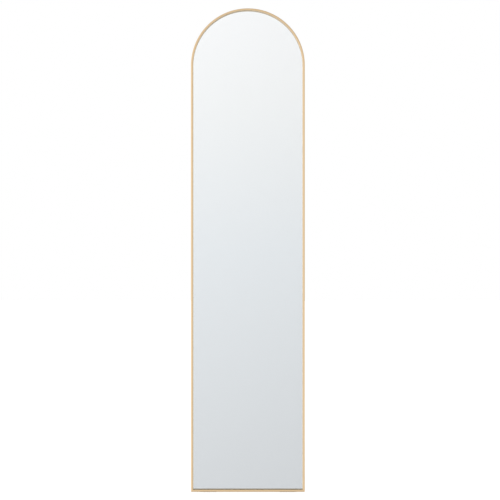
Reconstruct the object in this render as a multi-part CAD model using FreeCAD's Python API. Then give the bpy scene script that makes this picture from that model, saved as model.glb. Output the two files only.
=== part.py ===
import FreeCAD, Part
import math
import os
from FreeCAD import Vector

# Tall leaning floor mirror with a semicircular head, in a slim brass-finished frame.
#
# The frame is an aluminium extrusion with two hollow tubes, one in front of the mirror and one
# behind it, joined by the outer wall. One length is bent into both sides and the head. A second,
# short length closes the foot with mitred corners. Silvered glass, foam tape and a fibreboard
# panel slide up the groove between the tubes before the foot rail goes on. Corner keys in the
# rear tube, held by countersunk screws, pull the mitres shut. Two strap hangers with swinging
# D rings are screwed to the panel.
#
# Millimetres. X runs to the right as seen from the front, Y to the back, Z up. The origin is on
# the floor, at the middle of the mirror's width and depth.

# ---- overall ----
overall_width = 400.0
overall_height = 1700.0

# ---- frame extrusion: u runs inwards from the outer wall, v runs back from the front ----
face_width = 7.5            # what shows from the front
wall = 1.2                  # outer wall, inner walls and webs of both tubes
screw_wall = 1.8            # thicker rear face, where the corner screws sit
front_tube_depth = 8.0      # the glass lies this far behind the front
rear_tube_depth = 7.7
crown_rise = 0.8            # how far the front face bulges over its width
front_edge = 0.4            # small chamfer along both edges of the front face
mitre_gap = 0.1             # hairline at the foot corners

# ---- what slides into the groove, front to back ----
glass_thickness = 4.0
glass_arris = 0.4           # ground edges of the glass
silvering_thickness = 0.1   # silver, copper and the paint that protects them
tape_thickness = 1.0
panel_thickness = 9.0
pack_play = 0.2             # room behind the panel, so that it slides in
block_thickness = 1.5       # rubber between the pack's edges and the outer wall
block_play = 0.1            # each side of a block, across the groove

# ---- double-sided foam tape between glass and panel ----
tape_width = 20.0
tape_foot = 60.0            # from the glass's lower edge up to the tape's lower end
tape_head = 35.0            # from where the head starts down to the tape's upper end
tape_pitch = 120.0
tape_count = 3

# ---- rubber blocks in the groove ----
block_length = 50.0
foot_block_inset = 85.0     # from the frame's side to a block's middle
side_block_foot = 320.0     # from the floor to the lower blocks' middle
side_block_head = 260.0     # from where the head starts down to the upper blocks' middle

# ---- corner keys in the rear tube, and thin alignment angles in the front tube ----
key_play = 0.1
key_leg = 34.0              # from the outer corner of the chamber
key_lead_in = 0.7
key_screw_end = 12.0        # from a leg's screw to its end
angle_leg = 24.0
angle_thickness = 1.5

# ---- countersunk corner screws ----
corner_screw_diameter = 3.0
corner_screw_length = 6.0
corner_head_diameter = 5.4
head_sink = 0.1             # the head lies this far below the rear face
screw_hole_play = 0.2       # round the shank in the rear face
thread_play = 0.05          # round a shank in its own thread

# ---- strap hangers: a folded strip of steel round the straight side of a D ring ----
hanger_inset = 50.0         # from the frame's side to the hanger's middle
hanger_drop = 120.0         # from where the head starts down to the ring's axis
strap_sheet = 1.0
strap_width = 16.0
strap_screw_near = 11.0     # from the ring's axis down to the nearer screw
strap_end = 8.0             # from the farther screw to the strap's end
strap_corner = 4.0          # cut off each corner there
strap_hole_diameter = 4.2
strap_fold_angle = 50.0     # how far the fold goes on past half a turn
strap_bend_radius = 1.0
ring_wire = 3.0
ring_play = 0.05            # round the wire in the folded strap
ring_end_play = 2.0         # from the strap's edge to the start of the ring's bend
ring_flats = 10             # sides of the wire's section round the bends
ring_bend_radius = 3.5
ring_side = 3.0             # straight part between a bend and the half round
ring_rest_gap = 0.4         # between the strap and the ring that hangs over it
ring_screw_gap = 2.0        # between the ring and the farther screw's head

# ---- pan-head screws of the hangers ----
hanger_screw_diameter = 3.5
hanger_screw_length = 9.0
pan_head_diameter = 7.0
pan_head_height = 2.4
pan_head_seat = 0.02

# ---- clear polyurethane pads ----
bumper_diameter = 6.4
bumper_height = 1.5
bumper_head_angle = 35.0    # degrees either side of the top of the head
bumper_foot_height = 150.0
pad_thickness = 1.0
pad_length = 60.0
pad_width = 26.0            # wide enough for the mirror to stand free while it is set up
pad_corner = 4.0            # cut off each corner
pad_inset = 60.0            # from the frame's side to a pad's middle

# ---- worked out ----
pack_depth = glass_thickness + silvering_thickness + tape_thickness + panel_thickness
groove_end = front_tube_depth + pack_depth + pack_play
frame_depth = groove_end + rear_tube_depth
front_y = -(frame_depth + bumper_height) / 2
rear_y = front_y + frame_depth
foot_z = pad_thickness
mitre_shift = mitre_gap / math.sqrt(2)                     # of each piece's cut, along its length
head_radius = overall_width / 2
spring_z = overall_height - head_radius
chamber_width = face_width - 2 * wall
front_chamber = (crown_rise + wall, front_tube_depth - wall)
rear_chamber = (groove_end + wall, frame_depth - screw_wall)
pack_inset = wall + block_thickness
glass_y = front_y + front_tube_depth
silvering_y = glass_y + glass_thickness
tape_y = silvering_y + silvering_thickness
panel_y = tape_y + tape_thickness
panel_back_y = panel_y + panel_thickness
hanger_x = overall_width / 2 - hanger_inset
hanger_z = spring_z - hanger_drop
strap_lift = 2 * strap_sheet                               # both layers, above the panel's back
ring_axis_lift = strap_sheet + ring_play + ring_wire / 2
ring_axis_y = panel_back_y + ring_axis_lift
ring_half_bar = strap_width / 2 + ring_end_play
ring_half_width = ring_half_bar + ring_bend_radius         # to the middle of the wire
ring_round_drop = ring_bend_radius + ring_side             # from the axis to the half round
ring_reach = ring_round_drop + ring_half_width + ring_wire / 2
strap_screw_far = ring_reach + ring_screw_gap + pan_head_diameter / 2

across = Vector(1, 0, 0)
back = Vector(0, 1, 0)
up = Vector(0, 0, 1)
cut_over = 1.0              # how far a cutter runs past what it cuts


def box(low, high):
    """A box between two corners."""
    size = high - low
    return Part.makeBox(size.x, size.y, size.z, low)


def other_side(shape):
    """The same piece on the right-hand side."""
    return shape.mirror(Vector(0, 0, 0), across)


def closed_face(edges):
    return Part.Face(Part.Wire(edges))


def polygon_face(points):
    return Part.Face(Part.makePolygon(points + points[:1]))


def arc(start, through, end):
    return Part.Arc(start, through, end).toShape()


def line(start, end):
    return Part.LineSegment(start, end).toShape()


def section_outline(place):
    """The outside of the extrusion: crowned front, glass groove on its inner side, flat rear."""
    crown_edge = crown_rise + front_edge
    return [
        line(place(0, crown_edge), place(front_edge, crown_rise)),
        arc(place(front_edge, crown_rise), place(face_width / 2, 0),
            place(face_width - front_edge, crown_rise)),
        line(place(face_width - front_edge, crown_rise), place(face_width, crown_edge)),
        line(place(face_width, crown_edge), place(face_width, front_tube_depth)),
        line(place(face_width, front_tube_depth), place(wall, front_tube_depth)),
        line(place(wall, front_tube_depth), place(wall, groove_end)),
        line(place(wall, groove_end), place(face_width, groove_end)),
        line(place(face_width, groove_end), place(face_width, frame_depth)),
        line(place(face_width, frame_depth), place(0, frame_depth)),
        line(place(0, frame_depth), place(0, crown_edge)),
    ]


def section_face(place):
    """The extrusion's section with its two chambers, where place(u, v) gives a point."""
    face = closed_face(section_outline(place))
    for start, end in (front_chamber, rear_chamber):
        chamber = polygon_face([
            place(wall, start),
            place(wall + chamber_width, start),
            place(wall + chamber_width, end),
            place(wall, end),
        ])
        face = face.cut(chamber)
    return face.Faces[0]


def corner_screw_points():
    """X and Z of each corner screw: one in each leg of each key."""
    centre = face_width / 2
    step = wall + key_leg - key_screw_end
    points = []
    for side in (-1, 1):
        points.append((side * (overall_width / 2 - centre), foot_z + step))
        points.append((side * (overall_width / 2 - step), foot_z + centre))
    return points


def corner_screw_hole(x, z):
    """Clearance hole and countersink through the rear face of the frame."""
    shank = corner_screw_diameter / 2 + screw_hole_play
    mouth = corner_head_diameter / 2 + screw_hole_play
    inside = rear_y - screw_wall - cut_over
    hole = Part.makeCylinder(shank, rear_y + cut_over - inside, Vector(x, inside, z), back)
    cone_depth = mouth - shank
    sink = Part.makeCone(shank, mouth, cone_depth, Vector(x, rear_y - cone_depth, z), back)
    return hole.fuse(sink)


def drill_corner_screws(piece):
    for x, z in corner_screw_points():
        piece = piece.cut(corner_screw_hole(x, z))
    return piece


def arch_frame():
    """Both sides and the head, bent from one length, with mitred feet."""
    left = -overall_width / 2
    section = section_face(lambda u, v: Vector(left + u, front_y + v, spring_z))
    head = section.revolve(Vector(0, 0, spring_z), back, 180)
    stile = section.extrude(Vector(0, 0, foot_z - spring_z))
    over = cut_over
    mitre_z = foot_z + mitre_shift
    waste = polygon_face([
        Vector(left - over, front_y - over, mitre_z - over),
        Vector(left + face_width + over, front_y - over, mitre_z + face_width + over),
        Vector(left + face_width + over, front_y - over, mitre_z - over),
    ]).extrude(Vector(0, frame_depth + 2 * over, 0))
    stile = stile.cut(waste)
    frame = head.fuse([stile, other_side(stile)]).removeSplitter()
    return drill_corner_screws(frame)


def bottom_rail():
    """The foot of the frame, mitred at both ends."""
    half = overall_width / 2
    section = section_face(lambda u, v: Vector(-half, front_y + v, foot_z + u))
    length = section.extrude(Vector(overall_width, 0, 0))
    end = half - mitre_shift
    keep = polygon_face([
        Vector(-end, front_y, foot_z),
        Vector(end, front_y, foot_z),
        Vector(end - face_width, front_y, foot_z + face_width),
        Vector(face_width - end, front_y, foot_z + face_width),
    ]).extrude(Vector(0, frame_depth, 0))
    return drill_corner_screws(length.common(keep))


def corner_angle(leg, low_v, high_v):
    """An L that fills the width of a chamber round the left foot corner."""
    near = wall + key_play
    far = wall + chamber_width - key_play
    left = -overall_width / 2
    upright = box(
        Vector(left + near, front_y + low_v, foot_z + near),
        Vector(left + far, front_y + high_v, foot_z + wall + leg),
    )
    level = box(
        Vector(left + near, front_y + low_v, foot_z + near),
        Vector(left + wall + leg, front_y + high_v, foot_z + far),
    )
    return upright.fuse(level).removeSplitter()


def corner_key():
    """Left corner key of the rear tube, with two tapped holes and chamfered ends."""
    key = corner_angle(key_leg, rear_chamber[0] + key_play, rear_chamber[1] - key_play)
    end_x = -overall_width / 2 + wall + key_leg
    end_z = foot_z + wall + key_leg
    ends = []
    for edge in key.Edges:
        box_of_edge = edge.BoundBox
        on_level_end = abs(box_of_edge.XMin - end_x) < 1e-6
        on_upright_end = abs(box_of_edge.ZMin - end_z) < 1e-6
        if on_level_end or on_upright_end:
            ends.append(edge)
    key = key.makeChamfer(key_lead_in, ends)
    thread = corner_screw_diameter / 2 + thread_play
    for x, z in corner_screw_points():
        if x < 0:
            hole_start = Vector(x, front_y + rear_chamber[0], z)
            key = key.cut(Part.makeCylinder(thread, rear_tube_depth, hole_start, back))
    return key


def alignment_angle():
    """Left thin angle of the front tube, which keeps the two faces level at the mitre."""
    rear = front_chamber[1]
    return corner_angle(angle_leg, rear - angle_thickness, rear)


def corner_screw(x, z):
    """Countersunk screw with its head just below the rear face."""
    shank = corner_screw_diameter / 2
    head = corner_head_diameter / 2
    top = rear_y - head_sink
    cone = Part.makeCone(shank, head, head - shank, Vector(x, top - (head - shank), z), back)
    stem = Part.makeCylinder(shank, corner_screw_length,
                             Vector(x, top - corner_screw_length, z), back)
    return stem.fuse(cone).removeSplitter()


def corner_key_screws():
    return Part.Compound([corner_screw(x, z) for x, z in corner_screw_points()])


def arched_slab(inset, y, thickness):
    """A sheet with the mirror's outline, inset from the frame's outside, from y backwards."""
    half = overall_width / 2 - inset
    low_left = Vector(-half, y, foot_z + inset)
    low_right = Vector(half, y, foot_z + inset)
    spring_left = Vector(-half, y, spring_z)
    spring_right = Vector(half, y, spring_z)
    top = Vector(0, y, spring_z + half)
    outline = closed_face([
        line(low_left, low_right),
        line(low_right, spring_right),
        arc(spring_right, top, spring_left),
        line(spring_left, low_left),
    ])
    return outline.extrude(Vector(0, thickness, 0))


def mirror_glass():
    """Float glass with ground edges."""
    pane = arched_slab(pack_inset, glass_y, glass_thickness)
    rims = [edge for edge in pane.Edges if edge.BoundBox.YLength < glass_arris]
    return pane.makeChamfer(glass_arris, rims)


def mirror_silvering():
    """Silver, copper and paint on the back of the glass, inside the ground edge."""
    return arched_slab(pack_inset + glass_arris, silvering_y, silvering_thickness)


def mounting_tape():
    """Upright strips of foam tape that hold the glass to the panel."""
    strips = []
    foot = foot_z + pack_inset + tape_foot
    for number in range(tape_count):
        centre = (number - (tape_count - 1) / 2) * tape_pitch
        strips.append(box(
            Vector(centre - tape_width / 2, tape_y, foot),
            Vector(centre + tape_width / 2, panel_y, spring_z - tape_head),
        ))
    return Part.Compound(strips)


def hanger_screw_points():
    """X and Z of each hanger screw: two below each D ring."""
    points = []
    for side in (-1, 1):
        for step in (strap_screw_near, strap_screw_far):
            points.append((side * hanger_x, hanger_z - step))
    return points


def back_panel():
    """Fibreboard backing with blind holes for the hanger screws."""
    panel = arched_slab(pack_inset, panel_y, panel_thickness)
    radius = hanger_screw_diameter / 2 + thread_play
    in_panel = hanger_screw_length - strap_lift
    for x, z in hanger_screw_points():
        start = Vector(x, panel_back_y - in_panel, z)
        panel = panel.cut(Part.makeCylinder(radius, in_panel + cut_over, start, back))
    return panel


def setting_blocks():
    """Two rubber blocks on the foot rail, which carry glass and panel."""
    low_y = front_y + front_tube_depth + block_play
    high_y = front_y + groove_end - block_play
    blocks = []
    for side in (-1, 1):
        centre = side * (overall_width / 2 - foot_block_inset)
        blocks.append(box(
            Vector(centre - block_length / 2, low_y, foot_z + wall),
            Vector(centre + block_length / 2, high_y, foot_z + wall + block_thickness),
        ))
    return Part.Compound(blocks)


def side_blocks():
    """Rubber blocks in the sides of the groove, which centre glass and panel."""
    low_y = front_y + front_tube_depth + block_play
    high_y = front_y + groove_end - block_play
    outer = -overall_width / 2 + wall
    blocks = []
    for height in (side_block_foot, spring_z - side_block_head):
        block = box(
            Vector(outer, low_y, height - block_length / 2),
            Vector(outer + block_thickness, high_y, height + block_length / 2),
        )
        blocks += [block, other_side(block)]
    return Part.Compound(blocks)


def strap_profile(x):
    """Side view of the folded strip: flat on the panel, round the ring's wire and back on itself."""
    inner = ring_wire / 2 + ring_play
    outer = inner + strap_sheet
    fold = math.radians(strap_fold_angle)
    under = strap_bend_radius + strap_sheet      # bend radius on the side of the lower layer
    drop = ring_axis_lift + inner * math.cos(fold) - strap_sheet - under * (1 - math.cos(fold))
    ramp = drop / math.sin(fold)
    bend = inner * math.sin(fold) + ramp * math.cos(fold) + under * math.sin(fold)
    end = strap_screw_far + strap_end

    def at(along, lift):
        return Vector(x, panel_back_y + lift, hanger_z - along)

    def on_eye(radius, degrees):
        """A point round the wire: 0 is below it, 90 away from the panel, 180 above it."""
        turn = math.radians(degrees)
        return at(radius * math.cos(turn), ring_axis_lift + radius * math.sin(turn))

    def on_bend(radius, angle):
        """A point of the reverse bend, angle before the upper layer lies flat."""
        lift = strap_sheet + under - radius * math.cos(angle)
        return at(bend - radius * math.sin(angle), lift)

    fold_end = 90 - strap_fold_angle
    halfway = (fold_end + 270) / 2
    outside = closed_face([
        line(at(end, 0), at(0, 0)),
        arc(at(0, 0), on_eye(outer, halfway), on_eye(outer, fold_end)),
        line(on_eye(outer, fold_end), on_bend(strap_bend_radius, fold)),
        arc(on_bend(strap_bend_radius, fold), on_bend(strap_bend_radius, fold / 2),
            at(bend, strap_lift)),
        line(at(bend, strap_lift), at(end, strap_lift)),
        line(at(end, strap_lift), at(end, 0)),
    ])
    eye = closed_face([
        line(at(bend, strap_sheet), at(0, strap_sheet)),
        arc(at(0, strap_sheet), on_eye(inner, halfway), on_eye(inner, fold_end)),
        line(on_eye(inner, fold_end), on_bend(under, fold)),
        arc(on_bend(under, fold), on_bend(under, fold / 2), at(bend, strap_sheet)),
    ])
    return outside.cut(eye).Faces[0]


def hanger_strap():
    """Left strap: the folded strip with clipped corners at its end and two screw holes."""
    low = -hanger_x - strap_width / 2
    strap = strap_profile(low).extrude(across * strap_width)
    end_z = hanger_z - strap_screw_far - strap_end
    corners = []
    for edge in strap.Edges:
        if edge.BoundBox.ZMax < end_z + strap_sheet and edge.BoundBox.YLength > strap_sheet / 2:
            corners.append(edge)
    strap = strap.makeChamfer(strap_corner, corners)
    for x, z in hanger_screw_points():
        if x < 0:
            start = Vector(x, panel_back_y - cut_over, z)
            depth = strap_lift + 2 * cut_over
            strap = strap.cut(Part.makeCylinder(strap_hole_diameter / 2, depth, start, back))
    return strap


def hanger_screw(x, z):
    """Pan-head wood screw."""
    seat = panel_back_y + strap_lift + pan_head_seat
    head = Part.makeCylinder(pan_head_diameter / 2, pan_head_height, Vector(x, seat, z), back)
    stem = Part.makeCylinder(hanger_screw_diameter / 2, hanger_screw_length,
                             Vector(x, seat - hanger_screw_length, z), back)
    return head.fuse(stem).removeSplitter()


def hanger_screws():
    return Part.Compound([hanger_screw(x, z) for x, z in hanger_screw_points()])


def ring_lean():
    """Degrees that the hanging ring stands off the panel, where it lies over its strap."""
    half_strap = strap_width / 2
    crossing = ring_round_drop + math.sqrt(ring_half_width ** 2 - half_strap ** 2)
    rise = strap_lift + ring_rest_gap + ring_wire / 2 - ring_axis_lift
    return math.degrees(math.asin(rise / crossing))


def wire_section(point, direction):
    """The wire's section as a polygon inside its circle, with a flat towards the back."""
    sideways = direction.cross(back)
    corners = []
    for number in range(ring_flats):
        turn = 2 * math.pi * (number + 0.5) / ring_flats
        offset = back * math.cos(turn) + sideways * math.sin(turn)
        corners.append(point + offset * (ring_wire / 2))
    return polygon_face(corners)


def hanger_ring():
    """Left D ring, hanging from its strap: a round bar, and bends of many-sided section."""
    axis_point = Vector(-hanger_x, ring_axis_y, hanger_z)
    bend_z = hanger_z - ring_bend_radius
    round_z = hanger_z - ring_round_drop
    bar_start = axis_point - across * ring_half_bar
    bar = Part.makeCylinder(ring_wire / 2, 2 * ring_half_bar, bar_start, across)
    bend_centre = Vector(bar_start.x, ring_axis_y, bend_z)
    bend = wire_section(bar_start, across).revolve(bend_centre, back, -90)
    side_start = Vector(-hanger_x - ring_half_width, ring_axis_y, bend_z)
    side = wire_section(side_start, up).extrude(Vector(0, 0, -ring_side))
    round_start = Vector(side_start.x, ring_axis_y, round_z)
    round_centre = Vector(-hanger_x, ring_axis_y, round_z)
    half_round = wire_section(round_start, up).revolve(round_centre, back, -180)
    bends = [bend, bend.mirror(axis_point, across)]
    sides = [side, side.mirror(axis_point, across)]
    ring = bar.fuse(bends + sides + [half_round]).removeSplitter()
    ring.rotate(axis_point, across, ring_lean())
    return ring


def wall_bumpers():
    """Two round pads on the head, where the mirror leans on the wall, and two low on the sides."""
    middle = head_radius - face_width / 2
    turn = math.radians(bumper_head_angle)
    pads = []
    for side in (-1, 1):
        for x, z in (
            (side * middle * math.sin(turn), spring_z + middle * math.cos(turn)),
            (side * middle, bumper_foot_height),
        ):
            centre = Vector(x, rear_y, z)
            pads.append(Part.makeCylinder(bumper_diameter / 2, bumper_height, centre, back))
    return Part.Compound(pads)


def floor_pads():
    """Two clear non-slip pads under the foot rail."""
    middle_y = (front_y + rear_y) / 2
    pads = []
    for side in (-1, 1):
        centre = side * (overall_width / 2 - pad_inset)
        pad = box(
            Vector(centre - pad_length / 2, middle_y - pad_width / 2, 0),
            Vector(centre + pad_length / 2, middle_y + pad_width / 2, pad_thickness),
        )
        corners = [edge for edge in pad.Edges if edge.BoundBox.ZLength > pad_thickness / 2]
        pads.append(pad.makeChamfer(pad_corner, corners))
    return Part.Compound(pads)


left_key = corner_key()
left_angle = alignment_angle()
left_strap = hanger_strap()
left_ring = hanger_ring()

parts = {
    "arch_frame": arch_frame(),
    "bottom_rail": bottom_rail(),
    "corner_key_left": left_key,
    "corner_key_right": other_side(left_key),
    "alignment_angle_left": left_angle,
    "alignment_angle_right": other_side(left_angle),
    "corner_key_screws": corner_key_screws(),
    "mirror_glass": mirror_glass(),
    "mirror_silvering": mirror_silvering(),
    "mounting_tape": mounting_tape(),
    "back_panel": back_panel(),
    "setting_blocks": setting_blocks(),
    "side_blocks": side_blocks(),
    "hanger_strap_left": left_strap,
    "hanger_strap_right": other_side(left_strap),
    "hanger_screws": hanger_screws(),
    "hanger_ring_left": left_ring,
    "hanger_ring_right": other_side(left_ring),
    "wall_bumpers": wall_bumpers(),
    "floor_pads": floor_pads(),
}

os.makedirs("parts", exist_ok=True)
for name, shape in parts.items():
    shape.exportStep(os.path.join("parts", name + ".step"))
    solids = len(shape.Solids)
    print(f"{name}: {solids} solid(s), {shape.Volume / 1000:.2f} cm3, valid {shape.isValid()}")
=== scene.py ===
import math

import bmesh
import bpy
from mathutils import Matrix, Vector


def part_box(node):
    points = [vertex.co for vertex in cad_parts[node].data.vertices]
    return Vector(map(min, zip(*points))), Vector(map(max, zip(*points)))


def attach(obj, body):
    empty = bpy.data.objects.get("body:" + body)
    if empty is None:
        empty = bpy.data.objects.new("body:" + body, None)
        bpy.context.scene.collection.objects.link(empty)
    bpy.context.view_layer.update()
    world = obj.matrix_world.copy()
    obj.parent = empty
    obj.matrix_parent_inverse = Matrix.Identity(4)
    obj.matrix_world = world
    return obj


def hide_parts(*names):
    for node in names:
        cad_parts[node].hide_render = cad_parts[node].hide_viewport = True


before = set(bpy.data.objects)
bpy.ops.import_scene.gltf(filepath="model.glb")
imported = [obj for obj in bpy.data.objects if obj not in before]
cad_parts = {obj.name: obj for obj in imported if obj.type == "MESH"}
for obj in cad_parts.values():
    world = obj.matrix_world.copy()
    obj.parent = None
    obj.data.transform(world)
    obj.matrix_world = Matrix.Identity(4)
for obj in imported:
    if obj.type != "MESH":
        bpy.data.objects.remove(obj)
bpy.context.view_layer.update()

mm = 0.001

# ---------------------------------------------------------------- the photograph's view
# The mirror stands upright and is seen square on from about four metres, at half its height.
# The camera stands a few millimetres right of its middle line, which gives the picture's framing.
view_distance = 4.0            # from the frame's front
view_height = 1756.7 * mm      # how much of the front plane the picture takes in
eye_x = 7.4 * mm
eye_z = 850.7 * mm
frame_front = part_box("arch_frame")[0].y

camera_data = bpy.data.cameras.new("camera")
camera_data.sensor_width = 36.0
camera_data.lens = camera_data.sensor_width * view_distance / view_height
camera = bpy.data.objects.new("camera", camera_data)
camera.location = (eye_x, frame_front - view_distance, eye_z)
camera.rotation_euler = (math.radians(90), 0, 0)
bpy.context.scene.collection.objects.link(camera)
bpy.context.scene.camera = camera
bpy.context.scene.view_settings.view_transform = "Standard"


# ---------------------------------------------------------------- studio
# A white sweep under a darker ceiling, lit evenly all round with two broad soft lamps. The mirror
# shows it bright towards the ceiling and greyer towards the floor; metal picks up the side walls,
# of which the left one is brighter.
studio_white = (1.0, 1.0, 1.0, 1.0)
even_light = 0.62
floor_grey = (0.8, 0.8, 0.8, 1.0)
floor_glow = 0.52              # light of its own that keeps the floor as white as the backdrop
floor_drop = 0.1 * mm          # keeps the floor off the pads' undersides
brighter_left = 0.135          # share that the left side gains and the right side loses
side_spread = 0.4              # sideways direction, out of 1, at which that is reached
lamp_spread = math.radians(40) # wide, so the shadows are soft
floor_reach = 15.0
mirror_sees = [                # up-and-down direction from -1 to 1, and the colour seen there
    (-1.0, (0.54, 0.55, 0.57)),
    (-0.50, (0.61, 0.62, 0.64)),
    (-0.21, (0.684, 0.694, 0.717)),
    (0.0, (0.828, 0.844, 0.872)),
    (0.13, (0.950, 0.944, 0.950)),
    (0.215, (1.015, 0.998, 1.010)),
    (0.30, (0.36, 0.36, 0.37)),
    (1.0, (0.22, 0.22, 0.23)),
]
metal_sees = [
    (-1.0, (0.62, 0.62, 0.62)),
    (-0.50, (0.72, 0.72, 0.72)),
    (-0.20, (0.96, 0.96, 0.96)),
    (0.20, (0.98, 0.98, 0.98)),
    (0.50, (0.76, 0.76, 0.76)),
    (1.0, (0.70, 0.70, 0.70)),
]


def node(tree, kind, inputs=(), **settings):
    """A new node, with its settings and with its inputs given as values or as other sockets."""
    made = tree.nodes.new(kind)
    for name, value in settings.items():
        setattr(made, name, value)
    for name, value in dict(inputs).items():
        if isinstance(value, bpy.types.NodeSocket):
            tree.links.new(value, made.inputs[name])
        else:
            made.inputs[name].default_value = value
    return made


def colour_ramp(tree, factor, stops):
    """A ramp from (position, colour) stops."""
    ramp = node(tree, "ShaderNodeValToRGB", {"Fac": factor})
    elements = ramp.color_ramp.elements
    while len(elements) < len(stops):
        elements.new(0.5)
    for element, (position, colour) in zip(elements, stops):
        element.position = position
        element.color = (*colour, 1.0)
    return ramp.outputs["Color"]


world = bpy.data.worlds.new("studio")
world.use_nodes = True
world.cycles.sampling_method = "NONE"
bpy.context.scene.world = world
sky = world.node_tree
sky.nodes.clear()
direction = node(sky, "ShaderNodeTexCoord").outputs["Generated"]
ways = node(sky, "ShaderNodeSeparateXYZ", {0: direction})
height = node(sky, "ShaderNodeMapRange", {"Value": ways.outputs["Z"], "From Min": -1.0})
side_light = node(sky, "ShaderNodeMapRange",
                  {"Value": ways.outputs["X"], "From Min": -side_spread, "From Max": side_spread,
                   "To Min": 1 + brighter_left, "To Max": 1 - brighter_left},
                  interpolation_type="SMOOTHSTEP").outputs["Result"]
in_mirror, on_metal = (
    node(sky, "ShaderNodeBackground", {"Strength": side_light, "Color": colour_ramp(
        sky, height.outputs["Result"], [((way + 1) / 2, colour) for way, colour in stops])})
    for stops in (mirror_sees, metal_sees))
soft = node(sky, "ShaderNodeBackground", {"Color": studio_white, "Strength": even_light})
backdrop = node(sky, "ShaderNodeBackground", {"Color": studio_white, "Strength": 1.0})
rays = node(sky, "ShaderNodeLightPath").outputs
seen = soft
for ray, look in (("Is Glossy Ray", on_metal), ("Is Transmission Ray", in_mirror),
                  ("Is Camera Ray", backdrop)):
    seen = node(sky, "ShaderNodeMixShader",
                {0: rays[ray], 1: seen.outputs[0], 2: look.outputs[0]})
node(sky, "ShaderNodeOutputWorld", {"Surface": seen.outputs[0]})

floor_paint = bpy.data.materials.new("studio_floor")
floor_paint.use_nodes = True
paint = floor_paint.node_tree
paint.nodes.clear()
matt = node(paint, "ShaderNodeBsdfDiffuse", {"Color": floor_grey})
glow = node(paint, "ShaderNodeEmission", {"Color": studio_white, "Strength": floor_glow})
lit = node(paint, "ShaderNodeAddShader", {0: matt.outputs[0], 1: glow.outputs[0]})
clear = node(paint, "ShaderNodeBsdfTransparent")
rays = node(paint, "ShaderNodeLightPath").outputs
polished = node(paint, "ShaderNodeMath",
                {0: rays["Is Glossy Ray"], 1: rays["Is Transmission Ray"]},
                operation="MAXIMUM").outputs[0]
floor_look = node(paint, "ShaderNodeMixShader",
                  {0: rays["Is Camera Ray"], 1: matt.outputs[0], 2: lit.outputs[0]})
floor_look = node(paint, "ShaderNodeMixShader",
                  {0: polished, 1: floor_look.outputs[0], 2: clear.outputs[0]})
node(paint, "ShaderNodeOutputMaterial", {"Surface": floor_look.outputs[0]})

floor_mesh = bpy.data.meshes.new("studio_floor")
floor_mesh.from_pydata([(-floor_reach, -floor_reach, 0), (floor_reach, -floor_reach, 0),
                        (floor_reach, floor_reach, 0), (-floor_reach, floor_reach, 0)],
                       [], [(0, 1, 2, 3)])
floor_mesh.materials.append(floor_paint)
floor = bpy.data.objects.new("studio_floor", floor_mesh)
floor.location.z = -floor_drop
bpy.context.scene.collection.objects.link(floor)

for name, from_where, strength in (("front_lamp", (-1.4, -3.0, 3.0), 1.15),
                                   ("rear_lamp", (1.6, 3.0, 2.8), 1.0)):
    lamp_data = bpy.data.lights.new(name, "SUN")
    lamp_data.energy = strength
    lamp_data.angle = lamp_spread
    lamp = bpy.data.objects.new(name, lamp_data)
    lamp.rotation_euler = Vector(from_where).to_track_quat("Z", "Y").to_euler()
    lamp.visible_glossy = False
    lamp.visible_transmission = False
    bpy.context.scene.collection.objects.link(lamp)


# ---------------------------------------------------------------- frame extrusion
# Aluminium section with a hollow tube in front of the mirror and one behind it, champagne gold
# anodised. One length is bent into both sides and the round head; the foot rail closes it with
# mitred corners. The front is slightly crowned and brushed along its length.
arch_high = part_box("arch_frame")[1]
half_width = arch_high.x
spring_height = arch_high.z - half_width
foot_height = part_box("bottom_rail")[0].z      # clear of the floor, on its pads
frame_back = arch_high.y
frame_depth = 30 * mm
face_width = 7.5 * mm
wall = 1.2 * mm
screw_wall = 1.8 * mm                 # the thicker rear face
front_tube_depth = 8 * mm
rear_tube_depth = 7.7 * mm
groove_end = frame_depth - rear_tube_depth
crown_rise = 0.8 * mm
front_rounding = 0.5 * mm
rear_rounding = 0.25 * mm
mitre_gap = 0.1 * mm
head_segments = 144
crown_steps = 12
gold = (0.838, 0.622, 0.380)
gold_dark = (0.776, 0.568, 0.336)
side_return_painted_highlight = (0.95, 0.79, 0.58)      # inner side next to the glass: bright on the sides, a painted highlight over the gold
foot_return_painted_shade = (0.36, 0.295, 0.19)     # and duller on the foot rail: painted shade over the gold
return_end = 12.5 * mm                # from the section's first point round to the crown
return_fade = 0.2 * mm
weld_distance = 0.002 * mm
near = 0.01 * mm                      # within this, two places count as the same
sharp_corner = 35                     # degrees; an edge that turns further stays crisp


def bend(corner, before, after, steps):
    """Points of a rounded corner between two points on its sides."""
    points = []
    for step in range(steps + 1):
        t = step / steps
        points.append(tuple((1 - t) ** 2 * a + 2 * t * (1 - t) * c + t * t * b
                            for a, c, b in zip(before, corner, after)))
    return points


def extrusion_outline():
    """The section's outside as (inwards, backwards) points, from the groove's front corner on."""
    r, q = front_rounding, rear_rounding
    sweep = face_width / 2 - r
    bow = (sweep ** 2 + crown_rise ** 2) / (2 * crown_rise)
    crown = []
    for step in range(crown_steps + 1):
        turn = math.asin(sweep / bow) * (1 - 2 * step / crown_steps)
        crown.append((face_width / 2 + bow * math.sin(turn), bow - bow * math.cos(turn)))
    slope = sweep / (bow - crown_rise)
    lift = crown_rise + r * slope
    points = [(wall, front_tube_depth)]
    points += bend((face_width, front_tube_depth), (face_width - q, front_tube_depth),
                   (face_width, front_tube_depth - q), 3)
    points += bend((face_width, lift), (face_width, lift + r), crown[0], 4)[:-1]
    points += crown
    points += bend((0.0, lift), crown[-1], (0.0, lift + r), 4)[1:]
    points += bend((0.0, frame_depth), (0.0, frame_depth - q), (q, frame_depth), 3)
    points += bend((face_width, frame_depth), (face_width - q, frame_depth),
                   (face_width, frame_depth - q), 3)
    points += bend((face_width, groove_end), (face_width, groove_end + q),
                   (face_width - q, groove_end), 3)
    points += [(wall, groove_end)]
    return points


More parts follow.
